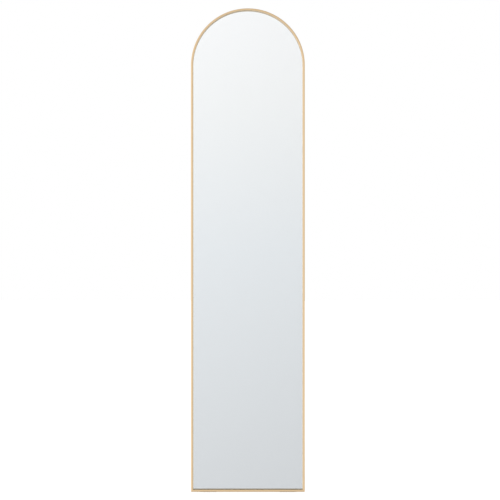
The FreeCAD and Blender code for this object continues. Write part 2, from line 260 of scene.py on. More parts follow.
def chamber_outline(start, end):
    """The hollow of a tube between two depths."""
    return [(wall, start), (wall, end), (face_width - wall, end), (face_width - wall, start)]


def loops_mesh(name, loops):
    """Closed loops of edges in the XY plane, each point with its distance round its loop."""
    points, edges, around = [], [], []
    for loop in loops:
        first = len(points)
        distance = 0.0
        for number, point in enumerate(loop):
            if number:
                distance += math.dist(point, loop[number - 1])
            points.append((*point, 0.0))
            around.append(distance)
            edges.append((first + number, first + (number + 1) % len(loop)))
    mesh = bpy.data.meshes.new(name)
    mesh.from_pydata(points, edges, [])
    mesh.attributes.new("around", "FLOAT", "POINT").data.foreach_set("value", around)
    return mesh


def new_tree(name, sockets):
    """A geometry tree with named inputs, and its group input and output nodes."""
    tree = bpy.data.node_groups.new(name, "GeometryNodeTree")
    tree.is_modifier = True
    tree.interface.new_socket("Geometry", in_out="INPUT", socket_type="NodeSocketGeometry")
    for label, kind in sockets:
        tree.interface.new_socket(label, in_out="INPUT", socket_type="NodeSocket" + kind)
    tree.interface.new_socket("Geometry", in_out="OUTPUT", socket_type="NodeSocketGeometry")
    return tree, node(tree, "NodeGroupInput").outputs, node(tree, "NodeGroupOutput").inputs


def maths(tree, operation, *values):
    """One step of arithmetic on sockets or numbers."""
    return node(tree, "ShaderNodeMath", dict(enumerate(values)), operation=operation).outputs[0]


def point_at(tree, x, y, z):
    """A vector from its three parts."""
    return node(tree, "ShaderNodeCombineXYZ", {"X": x, "Y": y, "Z": z}).outputs[0]


def parts_of(tree, vector):
    """The three parts of a vector, as outputs X, Y and Z."""
    return node(tree, "ShaderNodeSeparateXYZ", {0: vector}).outputs


def placed(tree, geometry, position, selection=True):
    """The geometry with its selected points moved to new places."""
    return node(tree, "GeometryNodeSetPosition",
                {"Geometry": geometry, "Position": position, "Selection": selection}).outputs[0]


def joined(tree, *geometries):
    """Several geometries as one."""
    join = node(tree, "GeometryNodeJoinGeometry")
    for geometry in geometries:
        tree.links.new(geometry, join.inputs[0])
    return join.outputs[0]


def swept_section(tree, path, inwards, section):
    """The section swept along the path, with its lengthwise and crosswise grain as a UV map."""
    path = node(tree, "GeometryNodeSetCurveNormal",
                {"Curve": path, "Normal": inwards}, mode="FREE").outputs[0]
    length = node(tree, "GeometryNodeSplineParameter").outputs["Length"]
    path = node(tree, "GeometryNodeStoreNamedAttribute",
                {"Geometry": path, "Name": "along", "Value": length}).outputs[0]
    tube = node(tree, "GeometryNodeCurveToMesh",
                {"Curve": path, "Profile Curve": section}).outputs[0]
    along, around = (node(tree, "GeometryNodeInputNamedAttribute", {"Name": name}).outputs[0]
                     for name in ("along", "around"))
    return node(tree, "GeometryNodeStoreNamedAttribute",
                {"Geometry": tube, "Name": "grain", "Value": point_at(tree, along, around, 0.0)},
                data_type="FLOAT2", domain="CORNER").outputs[0]


def finished(tree, mesh, material, output):
    """Welds the caps to the tube and gives the material."""
    mesh = node(tree, "GeometryNodeMergeByDistance",
                {"Geometry": mesh, "Distance": weld_distance}).outputs[0]
    whole = node(tree, "GeometryNodeRealizeInstances", {"Geometry": mesh}).outputs[0]
    whole = node(tree, "GeometryNodeSetMaterial",
                 {"Geometry": whole, "Material": material}).outputs[0]
    tree.links.new(whole, output["Geometry"])


def arched_tree():
    """Sweeps a section up one side, round the head and down the other, and mitres the feet."""
    tree, given, output = new_tree("arched_extrusion", [
        ("Half Width", "Float"), ("Spring Height", "Float"), ("Foot Height", "Float"),
        ("Front", "Float"), ("Mitre Shift", "Float"), ("Head Segments", "Int"),
        ("Material", "Material")])
    half, foot, front = given["Half Width"], given["Foot Height"], given["Front"]
    section = node(tree, "GeometryNodeMeshToCurve", {"Mesh": given["Geometry"]}).outputs[0]
    segments = given["Head Segments"]
    count = maths(tree, "ADD", segments, 3)       # with the start of the head and both feet
    index = node(tree, "GeometryNodeInputIndex").outputs[0]
    step = node(tree, "ShaderNodeClamp",
                {"Value": maths(tree, "SUBTRACT", index, 1), "Max": segments}).outputs[0]
    turn = maths(tree, "MULTIPLY_ADD", maths(tree, "DIVIDE", step, segments), -math.pi, math.pi)
    across, up = maths(tree, "COSINE", turn), maths(tree, "SINE", turn)
    past_last = maths(tree, "SUBTRACT", index, maths(tree, "ADD", segments, 2))
    is_foot = maths(tree, "MAXIMUM", maths(tree, "LESS_THAN", index, 0.5),
                    maths(tree, "GREATER_THAN", past_last, -0.5))
    z = maths(tree, "MULTIPLY_ADD", up, half, given["Spring Height"])
    drop = maths(tree, "MULTIPLY", maths(tree, "SUBTRACT", z, foot), is_foot)
    spot = point_at(tree, maths(tree, "MULTIPLY", across, half), front,
                    maths(tree, "SUBTRACT", z, drop))
    path = node(tree, "GeometryNodeCurvePrimitiveLine").outputs[0]
    path = node(tree, "GeometryNodeResampleCurve", {"Curve": path, "Count": count}).outputs[0]
    path = placed(tree, path, spot)
    inwards = point_at(tree, maths(tree, "MULTIPLY", across, -1), 0.0,
                       maths(tree, "MULTIPLY", up, -1))
    tube = swept_section(tree, path, inwards, section)
    here = parts_of(tree, node(tree, "GeometryNodeInputPosition").outputs[0])
    cap = node(tree, "GeometryNodeFillCurve", {"Curve": section}).outputs[0]
    back = maths(tree, "ADD", here["Y"], front)
    left = placed(tree, cap, point_at(tree, maths(tree, "SUBTRACT", here["X"], half), back, foot))
    right = placed(tree, cap, point_at(tree, maths(tree, "SUBTRACT", half, here["X"]), back, foot))
    whole = joined(tree, tube, left, right)
    inset = maths(tree, "SUBTRACT", half, maths(tree, "ABSOLUTE", here["X"]))
    mitre = maths(tree, "ADD", maths(tree, "ADD", foot, given["Mitre Shift"]), inset)
    low = maths(tree, "LESS_THAN", here["Z"], maths(tree, "ADD", foot, near))
    whole = placed(tree, whole, point_at(tree, here["X"], here["Y"], mitre), low)
    finished(tree, whole, given["Material"], output)
    return tree


def rail_tree():
    """Sweeps a section straight across and mitres both ends."""
    tree, given, output = new_tree("foot_rail_extrusion", [
        ("Half Width", "Float"), ("Foot Height", "Float"), ("Front", "Float"),
        ("Mitre Shift", "Float"), ("Material", "Material")])
    half, foot, front = given["Half Width"], given["Foot Height"], given["Front"]
    section = node(tree, "GeometryNodeMeshToCurve", {"Mesh": given["Geometry"]}).outputs[0]
    start = point_at(tree, half, front, foot)
    end = point_at(tree, maths(tree, "MULTIPLY", half, -1), front, foot)
    path = node(tree, "GeometryNodeCurvePrimitiveLine", {"Start": start, "End": end}).outputs[0]
    tube = swept_section(tree, path, (0.0, 0.0, 1.0), section)
    here = parts_of(tree, node(tree, "GeometryNodeInputPosition").outputs[0])
    cap = node(tree, "GeometryNodeFillCurve", {"Curve": section}).outputs[0]
    back = maths(tree, "ADD", here["Y"], front)
    up = maths(tree, "ADD", here["X"], foot)
    left = placed(tree, cap, point_at(tree, maths(tree, "MULTIPLY", half, -1), back, up))
    right = placed(tree, cap, point_at(tree, half, back, up))
    whole = joined(tree, tube, left, right)
    inset = maths(tree, "ADD", maths(tree, "SUBTRACT", here["Z"], foot), given["Mitre Shift"])
    end_x = maths(tree, "MULTIPLY", maths(tree, "SIGN", here["X"]),
                  maths(tree, "SUBTRACT", half, inset))
    whole = placed(tree, whole, point_at(tree, end_x, here["Y"], here["Z"]))
    finished(tree, whole, given["Material"], output)
    return tree


def new_piece(name, mesh):
    """An object at the origin that shows the mesh."""
    made = bpy.data.objects.new(name, mesh)
    bpy.context.scene.collection.objects.link(made)
    return made


def made_by(tree, name, start_mesh, values, sharp=sharp_corner):
    """The plain mesh that a geometry tree makes from a start mesh and its named sizes."""
    seed = new_piece(name, start_mesh)
    modifier = seed.modifiers.new("making", "NODES")
    modifier.node_group = tree
    for item in tree.interface.items_tree:
        if item.item_type == "SOCKET" and item.in_out == "INPUT" and item.name in values:
            modifier[item.identifier] = values[item.name]
    seed.update_tag()
    shape = bpy.data.meshes.new_from_object(
        seed.evaluated_get(bpy.context.evaluated_depsgraph_get()))
    seed.modifiers.clear()
    seed.data = shape
    shape.name = name
    tidy_faces(shape, sharp)
    return seed


def tidy_faces(mesh, sharp=sharp_corner):
    """Turns every face outwards and smooths all but the edges sharper than an angle."""
    work = bmesh.new()
    work.from_mesh(mesh)
    bmesh.ops.recalc_face_normals(work, faces=work.faces)
    work.to_mesh(mesh)
    work.free()
    mesh.shade_smooth()
    mesh.set_sharp_from_angle(angle=math.radians(sharp))


def lathe(name, profile, steps=48):
    """A closed turned shape from (radius, height) points, its axis along +Y."""
    work = bmesh.new()
    rings = []
    for radius, rise in profile:
        if radius == 0:
            rings.append([work.verts.new((0, rise, 0))])
            continue
        ring = []
        for step in range(steps):
            turn = 2 * math.pi * step / steps
            ring.append(work.verts.new((radius * math.cos(turn), rise, radius * math.sin(turn))))
        rings.append(ring)
    for one, two in zip(rings, rings[1:]):
        for step in range(steps):
            after = (step + 1) % steps
            corners = [one[step % len(one)], one[after % len(one)],
                       two[after % len(two)], two[step % len(two)]]
            work.faces.new(list(dict.fromkeys(corners)))
    mesh = bpy.data.meshes.new(name)
    bmesh.ops.recalc_face_normals(work, faces=work.faces)
    work.to_mesh(mesh)
    work.free()
    return mesh


def cut_by(piece, cutter):
    """Cuts the cutter's shape out of the piece for good, and removes the cutter."""
    cut = piece.modifiers.new("cut", "BOOLEAN")
    cut.operation = "DIFFERENCE"
    cut.solver = "EXACT"
    cut.object = cutter
    shape = bpy.data.meshes.new_from_object(
        piece.evaluated_get(bpy.context.evaluated_depsgraph_get()))
    piece.modifiers.clear()
    piece.data = shape
    bpy.data.objects.remove(cutter)


def surface(name, **sockets):
    """A material with one Principled shader, its node tree and that shader."""
    material = bpy.data.materials.new(name)
    material.use_nodes = True
    tree = material.node_tree
    shader = tree.nodes["Principled BSDF"]
    for label, value in sockets.items():
        shader.inputs[label.replace("_", " ")].default_value = value
    return material, tree, shader


def link(tree, source, shader, socket):
    """Feeds one of the shader's sockets from another node."""
    tree.links.new(source, shader.inputs[socket])


def noise(tree, place, scale, detail=2.0, stretch=None):
    """A noise factor, its pattern stretched along the axes if asked."""
    if stretch:
        place = node(tree, "ShaderNodeVectorMath", {0: place, 1: stretch},
                     operation="MULTIPLY").outputs[0]
    return node(tree, "ShaderNodeTexNoise",
                {"Vector": place, "Scale": scale, "Detail": detail}).outputs["Fac"]


def ranged(tree, value, low, high, start=0.0, end=1.0):
    """Goes from low to high while the value goes from start to end, and no further."""
    return node(tree, "ShaderNodeMapRange",
                {"Value": value, "From Min": start, "From Max": end,
                 "To Min": low, "To Max": high}).outputs["Result"]


def mixed(tree, factor, first, second):
    """A blend of two colours, each given as a value or as a socket."""
    mix = node(tree, "ShaderNodeMix", {"Factor": factor}, data_type="RGBA")
    for socket, colour in ((6, first), (7, second)):
        if isinstance(colour, bpy.types.NodeSocket):
            tree.links.new(colour, mix.inputs[socket])
        else:
            mix.inputs[socket].default_value = (*colour, 1.0)
    return mix.outputs[2]


def bumped(tree, shader, relief, distance, strength):
    """Fine relief in the surface, as deep as the distance."""
    bump = node(tree, "ShaderNodeBump",
                {"Height": relief, "Distance": distance, "Strength": strength})
    link(tree, bump.outputs["Normal"], shader, "Normal")


def champagne_gold(name, inner_painted_light, inner_roughness):
    """Satin anodised metal: brushed lengthwise, but not on the inner side next to the glass, whose
    given colour paints the light or shade that falls there.
    """
    material, tree, shader = surface(name, Metallic=1.0)
    grain = node(tree, "ShaderNodeUVMap", uv_map="grain").outputs["UV"]
    brushing = noise(tree, grain, scale=1.0, detail=3.0, stretch=(22.0, 9000.0, 1.0))
    drift = noise(tree, grain, scale=1.0, detail=2.0, stretch=(3.0, 160.0, 1.0))
    colour = mixed(tree, ranged(tree, brushing, 0.0, 1.0, start=0.3, end=0.7), gold_dark, gold)
    colour = mixed(tree, ranged(tree, drift, 0.0, 0.35, start=0.35, end=0.65), colour, gold)
    round_section = parts_of(tree, grain)["Y"]
    inside = ranged(tree, round_section, 1.0, 0.0,
                    return_end - return_fade, return_end + return_fade)
    # the inner side takes the given colour as painted light: a painted highlight on the sides,
    # painted shade on the foot rail
    link(tree, mixed(tree, inside, colour, inner_painted_light), shader, "Base Color")
    satin = ranged(tree, brushing, 0.27, 0.37, start=0.25, end=0.75)
    link(tree, ranged(tree, inside, satin, inner_roughness), shader, "Roughness")
    bumped(tree, shader, brushing, distance=0.004 * mm, strength=0.6)
    return material


section_loops = [extrusion_outline(),
                 chamber_outline(crown_rise + wall, front_tube_depth - wall),
                 chamber_outline(groove_end + wall, frame_depth - screw_wall)]
extrusion_sizes = {"Half Width": half_width, "Foot Height": foot_height, "Front": frame_front,
                   "Mitre Shift": mitre_gap / math.sqrt(2)}
bent_frame = made_by(
    arched_tree(), "bent_frame", loops_mesh("section", section_loops),
    extrusion_sizes | {"Spring Height": spring_height, "Head Segments": head_segments,
                       "Material": champagne_gold("champagne_gold", side_return_painted_highlight, 0.14)})
foot_rail = made_by(
    rail_tree(), "foot_rail", loops_mesh("section", section_loops),
    extrusion_sizes | {"Material": champagne_gold("champagne_gold_foot_painted_shade", foot_return_painted_shade, 0.34)})
for piece, cad_node in ((bent_frame, "arch_frame"), (foot_rail, "bottom_rail")):
    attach(piece, "mirror")
    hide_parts(cad_node)


# ---------------------------------------------------------------- corner screws
# Small countersunk cross-head screws of bright zinc-plated steel, two at each foot corner. They
# go through the frame's rear face into the corner keys and pull the mitres shut.
screw_step = 23.2 * mm         # from the frame's outer corner
corner_shank = 1.5 * mm        # radius
corner_head = 2.7 * mm         # radius
corner_screw_length = 6 * mm
corner_screw_tip = 0.5 * mm
corner_screw_end = 1.05 * mm   # radius of its blunt end
head_sink = 0.1 * mm
head_edge = 0.08 * mm          # how far down the head's worn edge reaches
head_edge_in = 0.05 * mm       # and how far in
hole_play = 0.2 * mm
drill_depth = 3 * mm
drill_above = 1 * mm
any_turn = 6.28                # a whole turn, in radians
recess_floor = 0.34            # half length of a cross recess's floor, as a share of its length
recess_mouth = 0.66            # and of its mouth, above the head
recess_slot = 0.6              # half width of its arms, as a share of their width
dull_zinc = (0.64, 0.66, 0.68)
clean_zinc = (0.77, 0.785, 0.80)


def points_mesh(name, points):
    """A mesh of bare points, at which fittings are set."""
    mesh = bpy.data.meshes.new(name)
    mesh.from_pydata(points, [], [])
    return mesh


def setting_tree():
    """Sets a copy of one fitting at every point, each turned by chance about its axis."""
    tree, given, output = new_tree("set_fittings", [
        ("Fitting", "Object"), ("Most Turn", "Float"), ("Seed", "Int"), ("Material", "Material")])
    fitting = node(tree, "GeometryNodeObjectInfo", {"Object": given["Fitting"]})
    turn = node(tree, "FunctionNodeRandomValue",
                {2: 0.0, 3: given["Most Turn"], "Seed": given["Seed"]}, data_type="FLOAT")
    turned = node(tree, "FunctionNodeAxisAngleToRotation",
                  {"Axis": (0.0, 1.0, 0.0), "Angle": turn.outputs[1]}).outputs[0]
    whole = node(tree, "GeometryNodeInstanceOnPoints",
                 {"Points": given["Geometry"], "Instance": fitting.outputs["Geometry"],
                  "Rotation": turned}).outputs[0]
    whole = node(tree, "GeometryNodeRealizeInstances", {"Geometry": whole}).outputs[0]
    whole = node(tree, "GeometryNodeSetMaterial",
                 {"Geometry": whole, "Material": given["Material"]}).outputs[0]
    tree.links.new(whole, output["Geometry"])
    return tree


fittings = setting_tree()


def set_at(points, name, fitting, material=None, most_turn=0.0, seed=1):
    """One mesh of a fitting set at every point. The fitting itself is used up."""
    sizes = {"Fitting": fitting, "Most Turn": most_turn, "Seed": seed}
    if material:
        sizes["Material"] = material
    whole = made_by(fittings, name, points_mesh(name, points), sizes)
    bpy.data.objects.remove(fitting)
    return whole


def cross_recess(fitting, top, length, width, depth):
    """Sinks a tapering cross into the top of a turned head."""
    for turned in (False, True):
        corners = []
        across = width * recess_slot
        for rise, along in ((top - depth, length * recess_floor),
                            (top + width, length * recess_mouth)):
            for a, b in ((-1, -1), (1, -1), (1, 1), (-1, 1)):
                x, z = a * along, b * across
                corners.append((z, rise, x) if turned else (x, rise, z))
        mesh = bpy.data.meshes.new("recess")
        mesh.from_pydata(corners, [], [(0, 1, 2, 3), (4, 5, 6, 7), (0, 1, 5, 4), (1, 2, 6, 5),
                                       (2, 3, 7, 6), (3, 0, 4, 7)])
        tidy_faces(mesh, sharp=30)
        cut_by(fitting, new_piece("recess", mesh))


def bright_zinc():
    """Zinc-plated steel: cool and bright, with the soft spangle and dulling of plating."""
    material, tree, shader = surface("bright_zinc", Metallic=1.0)
    place = node(tree, "ShaderNodeTexCoord").outputs["Object"]
    cloud = noise(tree, place, scale=420.0, detail=3.0)
    grit = noise(tree, place, scale=5200.0, detail=2.0)
    colour = mixed(tree, ranged(tree, cloud, 0.0, 1.0, start=0.35, end=0.65),
                   dull_zinc, clean_zinc)
    link(tree, colour, shader, "Base Color")
    link(tree, ranged(tree, cloud, 0.24, 0.42, start=0.3, end=0.7), shader, "Roughness")
    bumped(tree, shader, grit, distance=0.01 * mm, strength=0.5)
    return material


zinc = bright_zinc()
corner_points = []
for side in (-1, 1):
    corner_points.append((side * (half_width - face_width / 2), frame_back,
                          foot_height + screw_step))
    corner_points.append((side * (half_width - screw_step), frame_back,
                          foot_height + face_width / 2))
drill_shank, drill_mouth = corner_shank + hole_play, corner_head + hole_play
drill = new_piece("drill", lathe("drill", [
    (0, -drill_depth), (drill_shank, -drill_depth), (drill_shank, drill_shank - drill_mouth),
    (drill_mouth, 0.0), (drill_mouth, drill_above), (0, drill_above)]))
for piece, holes in ((bent_frame, corner_points[0::2]), (foot_rail, corner_points[1::2])):
    fitting = new_piece("drill_bit", drill.data)
    cut_by(piece, set_at(holes, "drill_holes", fitting))
    tidy_faces(piece.data)
bpy.data.objects.remove(drill)

head_top = -head_sink
countersunk = new_piece("countersunk", lathe("countersunk", [
    (0, head_top - corner_screw_length),
    (corner_screw_end, head_top - corner_screw_length),
    (corner_shank, head_top - corner_screw_length + corner_screw_tip),
    (corner_shank, head_top - (corner_head - corner_shank)),
    (corner_head, head_top - head_edge), (corner_head - head_edge_in, head_top),
    (0, head_top)]))
cross_recess(countersunk, head_top, length=2.9 * mm, width=0.75 * mm, depth=1.3 * mm)
corner_screws = set_at(corner_points, "corner_screws", countersunk, zinc,
                       most_turn=any_turn, seed=4)
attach(corner_screws, "mirror")
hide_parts("corner_key_screws")


# ---------------------------------------------------------------- corner keys and angles
# Sawn aluminium keys fill the rear tube round each foot corner, and take the corner screws. Thin
# zinc-plated angles in the front tube keep the two faces level at the mitre.
saw_dark = (0.62, 0.63, 0.64)
saw_pale = (0.76, 0.765, 0.77)


def sawn_aluminium():
    """Bare aluminium with the fine marks of the saw across it."""
    material, tree, shader = surface("sawn_aluminium", Metallic=1.0)
    place = node(tree, "ShaderNodeTexCoord").outputs["Object"]
    marks = noise(tree, place, scale=1.0, detail=2.0, stretch=(400.0, 5200.0, 400.0))
    colour = mixed(tree, ranged(tree, marks, 0.0, 1.0, start=0.3, end=0.7),
                   saw_dark, saw_pale)
    link(tree, colour, shader, "Base Color")
    link(tree, ranged(tree, marks, 0.34, 0.52, start=0.3, end=0.7), shader, "Roughness")
    bumped(tree, shader, marks, distance=0.02 * mm, strength=0.7)
    return material


def give(cad_node, material):
    """A CAD piece keeps its shape and gets its finish."""
    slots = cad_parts[cad_node].data.materials
    slots.clear()
    slots.append(material)


aluminium = sawn_aluminium()
for side in ("left", "right"):
    give("corner_key_" + side, aluminium)
    give("alignment_angle_" + side, zinc)


# ---------------------------------------------------------------- mirror pane
# Four-millimetre clear float glass, cut to the arch, its edge ground flat and its rims broken.
# It slides up the groove and stands on rubber blocks. Its front face lies 8 mm behind the frame's.
pane_inset = half_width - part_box("mirror_glass")[1].x     # from the frame's outside
pane_front, pane_back = (corner.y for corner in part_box("mirror_glass"))
pane_arris = 0.4 * mm
film_clearance = 0.02 * mm     # keeps the glass's back off the film's face
least_facing = 0.95            # how squarely a polished face looks to the front or back
clear_glass = (0.985, 0.994, 0.99)
green_edge = (0.66, 0.86, 0.78)


def arched_outline(inset, segments):
    """X and Z round the mirror's outline, inset from the frame's outside."""
    radius = half_width - inset
    points = [(-radius, foot_height + inset), (radius, foot_height + inset)]
    for step in range(segments + 1):
        turn = math.pi * step / segments
        points.append((radius * math.cos(turn), spring_height + radius * math.sin(turn)))
    return points


def arched_pane(name, rims):
    """A closed sheet through outlines given as (inset, y), front to back."""
    work = bmesh.new()
    rings = [[work.verts.new((x, y, z)) for x, z in arched_outline(inset, head_segments)]
             for inset, y in rims]
    for one, two in zip(rings, rings[1:]):
        for corner in range(len(one)):
            after = (corner + 1) % len(one)
            work.faces.new((one[corner], one[after], two[after], two[corner]))
    work.faces.new(rings[0])
    work.faces.new(rings[-1])
    mesh = bpy.data.meshes.new(name)
    work.to_mesh(mesh)
    work.free()
    tidy_faces(mesh, sharp=30)
    return mesh


def float_glass():
    """Clear glass: polished faces, and a ground edge that is duller and greener."""
    material, tree, shader = surface("float_glass", IOR=1.52, Transmission_Weight=1.0)
    facing = parts_of(tree, node(tree, "ShaderNodeTexCoord").outputs["Normal"])["Y"]
    edge = maths(tree, "LESS_THAN", maths(tree, "ABSOLUTE", facing), least_facing)
    place = node(tree, "ShaderNodeTexCoord").outputs["Object"]
    ground = ranged(tree, noise(tree, place, scale=2600.0, detail=2.0), 0.3, 0.5,
                    start=0.3, end=0.7)
    link(tree, maths(tree, "MULTIPLY", edge, ground), shader, "Roughness")
    link(tree, mixed(tree, edge, clear_glass, green_edge), shader, "Base Color")
    return material


pane = new_piece("glass_pane", arched_pane("glass_pane", [
    (pane_inset + pane_arris, pane_front),
    (pane_inset, pane_front + pane_arris),
    (pane_inset, pane_back - pane_arris - film_clearance),
    (pane_inset + pane_arris, pane_back - film_clearance)]))
pane.data.materials.append(float_glass())
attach(pane, "mirror")
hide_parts("mirror_glass")


# ---------------------------------------------------------------- silvering
# What makes the glass a mirror: silver, with copper over it, laid on the back of the pane, and a
# coat of grey paint that protects them. All three are one thin film here.
silver = (0.955, 0.965, 0.972)
paint_dark = (0.17, 0.19, 0.20)
paint_pale = (0.23, 0.25, 0.26)


def silver_film():
    """A bright mirror in front, and a grey painted back."""
    material, tree, shader = surface("silver_film")
    place = node(tree, "ShaderNodeTexCoord").outputs["Object"]
    low, high = (corner.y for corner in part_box("mirror_silvering"))
    middle = (low + high) / 2
    depth = ranged(tree, parts_of(tree, place)["Y"], 0.0, 1.0, middle, middle + near)
    paint_tone = noise(tree, place, scale=60.0, detail=4.0)
    paint_colour = mixed(tree, paint_tone, paint_dark, paint_pale)
    link(tree, mixed(tree, depth, silver, paint_colour), shader, "Base Color")
    link(tree, ranged(tree, depth, 1.0, 0.0), shader, "Metallic")
    link(tree, ranged(tree, depth, 0.0, 0.55), shader, "Roughness")
    return material


give("mirror_silvering", silver_film())


# ---------------------------------------------------------------- foam tape
# Three upright strips of white double-sided foam tape, cut from a roll. They stick the glass to the
# panel, and are the only thing between the two.
foam_shade = (0.62, 0.62, 0.60)
foam_white = (0.82, 0.82, 0.80)


def white_foam():
    """Closed-cell foam, its cells showing along the cut edges."""
    material, tree, shader = surface("white_foam", Roughness=0.9)
    place = node(tree, "ShaderNodeTexCoord").outputs["Object"]
    cells = node(tree, "ShaderNodeTexVoronoi", {"Vector": place, "Scale": 3800.0}).outputs[0]
    colour = mixed(tree, ranged(tree, cells, 0.0, 1.0, start=0.1, end=0.7),
                   foam_shade, foam_white)
    link(tree, colour, shader, "Base Color")
    bumped(tree, shader, cells, distance=0.08 * mm, strength=0.6)
    return material


give("mounting_tape", white_foam())


# ---------------------------------------------------------------- backing panel
# Bare nine-millimetre medium density fibreboard, sawn to the arch. It fills the groove behind the
# glass, carries the hangers and stiffens the whole mirror.
board_dark = (0.345, 0.235, 0.145)
board_pale = (0.39, 0.272, 0.172)
fibre_pale = (0.52, 0.39, 0.26)
fleck_dark = (0.20, 0.13, 0.075)


def fibreboard():
    """Pressed wood fibre: brown, with pale and dark fibres, soft clouds and a sanded face."""
    material, tree, shader = surface("fibreboard", Roughness=0.78)
    place = node(tree, "ShaderNodeTexCoord").outputs["Object"]
    clouds = noise(tree, place, scale=9.0, detail=5.0)
    fibres = noise(tree, place, scale=1.0, detail=4.0, stretch=(1500.0, 1500.0, 1000.0))
    flecks = noise(tree, place, scale=1.0, detail=3.0, stretch=(620.0, 900.0, 900.0))
    colour = mixed(tree, ranged(tree, clouds, 0.0, 1.0, start=0.3, end=0.7),
                   board_dark, board_pale)
    colour = mixed(tree, ranged(tree, fibres, 0.0, 0.5, start=0.42, end=0.72),
                   colour, fibre_pale)
    colour = mixed(tree, ranged(tree, flecks, 0.0, 0.55, start=0.60, end=0.76),
                   colour, fleck_dark)
    link(tree, colour, shader, "Base Color")
    link(tree, ranged(tree, fibres, 0.66, 0.86, start=0.3, end=0.7), shader, "Roughness")
    bumped(tree, shader, fibres, distance=0.05 * mm, strength=0.5)
    return material


give("back_panel", fibreboard())


# ---------------------------------------------------------------- rubber blocks
# Hard black rubber, cut from strip and pushed into the groove. Two blocks on the foot rail carry
# glass and panel, and four in the sides centre them.
rubber_dark = (0.018, 0.018, 0.019)
rubber_worn = (0.045, 0.044, 0.043)


def black_rubber():
    """Dull black rubber with a fine grain."""
    material, tree, shader = surface("black_rubber")
    place = node(tree, "ShaderNodeTexCoord").outputs["Object"]
    grain = noise(tree, place, scale=1800.0, detail=3.0)
    link(tree, mixed(tree, grain, rubber_dark, rubber_worn), shader, "Base Color")
    link(tree, ranged(tree, grain, 0.52, 0.72, start=0.3, end=0.7), shader, "Roughness")
    bumped(tree, shader, grain, distance=0.03 * mm, strength=0.6)
    return material


rubber = black_rubber()
for cad_node in ("setting_blocks", "side_blocks"):
    give(cad_node, rubber)


# ---------------------------------------------------------------- strap hangers
# Each is one strip of zinc-plated steel, folded round the bar of its ring and back on itself.
# Two screws through both layers hold it flat on the panel.
panel_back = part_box("back_panel")[1].y
hanger_x = 150 * mm            # the ring's bar, from the mirror's middle line
hanger_z = 1380 * mm           # and its height
strap_sheet = 1 * mm
strap_half_width = 8 * mm
strap_rounding = 0.14 * mm
layer_line = 0.05 * mm         # the join that shows along the strap's edges
fold_line = 8 * mm             # from the ring's axis down to where the layers part
past_edge = 1 * mm             # how far a cutter runs past what it cuts
same_point = 0.001 * mm
flat_enough = math.radians(1)  # faces that meet at less than this are one flat


def merged_copy(cad_node, name):
    """A new piece with a CAD piece's shape, its triangles joined and its flats made whole."""
    work = bmesh.new()
    work.from_mesh(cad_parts[cad_node].data)
    bmesh.ops.remove_doubles(work, verts=work.verts, dist=same_point)
    bmesh.ops.dissolve_limit(work, angle_limit=flat_enough, verts=work.verts, edges=work.edges)
    mesh = bpy.data.meshes.new(name)
    work.to_mesh(mesh)
    work.free()
    return new_piece(name, mesh)


def box_mesh(name, low, high):
    """A box between two corners."""
    mesh = bpy.data.meshes.new(name)
    work = bmesh.new()
    bmesh.ops.create_cube(work, size=1.0)
    middle = Matrix.Translation((Vector(low) + Vector(high)) / 2)
    bmesh.ops.transform(work, verts=work.verts,
                        matrix=middle @ Matrix.Diagonal((*(Vector(high) - Vector(low)), 1.0)))
    work.to_mesh(mesh)
    work.free()
    return mesh


def rounded(piece, width):
    """Rounds the piece's sharp edges for good."""
    edge = piece.modifiers.new("edge", "BEVEL")
    edge.width = width
    edge.segments = 2
    edge.limit_method = "ANGLE"
    edge.angle_limit = math.radians(sharp_corner)
    shape = bpy.data.meshes.new_from_object(
        piece.evaluated_get(bpy.context.evaluated_depsgraph_get()))
    piece.modifiers.clear()
    piece.data = shape
    tidy_faces(shape, sharp=40)


for side in ("left", "right"):
    strap = merged_copy("hanger_strap_" + side, "strap_" + side)
    low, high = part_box("hanger_strap_" + side)
    join_y = panel_back + strap_sheet
    cut_by(strap, new_piece("join", box_mesh(
        "join", (low.x - past_edge, join_y - layer_line / 2, low.z - past_edge),
        (high.x + past_edge, join_y + layer_line / 2, hanger_z - fold_line))))
    rounded(strap, strap_rounding)
    strap.data.materials.clear()
    strap.data.materials.append(zinc)
    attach(strap, "mirror")
    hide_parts("hanger_strap_" + side)


# ---------------------------------------------------------------- hanger screws
# Zinc-plated steel wood screws with a pan head and a cross recess. Two go through both layers of
# each strap and are driven into the fibreboard.
pan_radius = 3.5 * mm
pan_height = 2.4 * mm
pan_rim = 0.85 * mm            # straight side of the head, below its dome
pan_edge = 0.1 * mm
pan_length = 9 * mm
pan_tip = 3 * mm
shank_radius = 1.75 * mm
near_screw = 11 * mm           # from the ring's axis down to the nearer screw
dome_steps = 8
pan_points = []
pan_low, pan_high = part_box("hanger_screws")
seat = pan_high.y - pan_height
far_screw = pan_high.z - pan_low.z - 2 * pan_radius + near_screw
for side in (-1, 1):
    for drop in (near_screw, far_screw):
        pan_points.append((side * hanger_x, seat, hanger_z - drop))
dome = [(pan_radius * math.cos(turn), pan_rim + (pan_height - pan_rim) * math.sin(turn))
        for turn in (math.pi / 2 * step / dome_steps for step in range(dome_steps))]
pan_head = new_piece("pan_head", lathe("pan_head", [
    (0, -pan_length), (shank_radius, pan_tip - pan_length), (shank_radius, 0.0),
    (pan_radius - pan_edge, 0.0), (pan_radius, pan_edge), *dome, (0, pan_height)]))
cross_recess(pan_head, pan_height, length=3.9 * mm, width=0.95 * mm, depth=1.6 * mm)
pan_screws = set_at(pan_points, "pan_head_screws", pan_head, zinc, most_turn=any_turn, seed=9)
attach(pan_screws, "mirror")
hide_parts("hanger_screws")


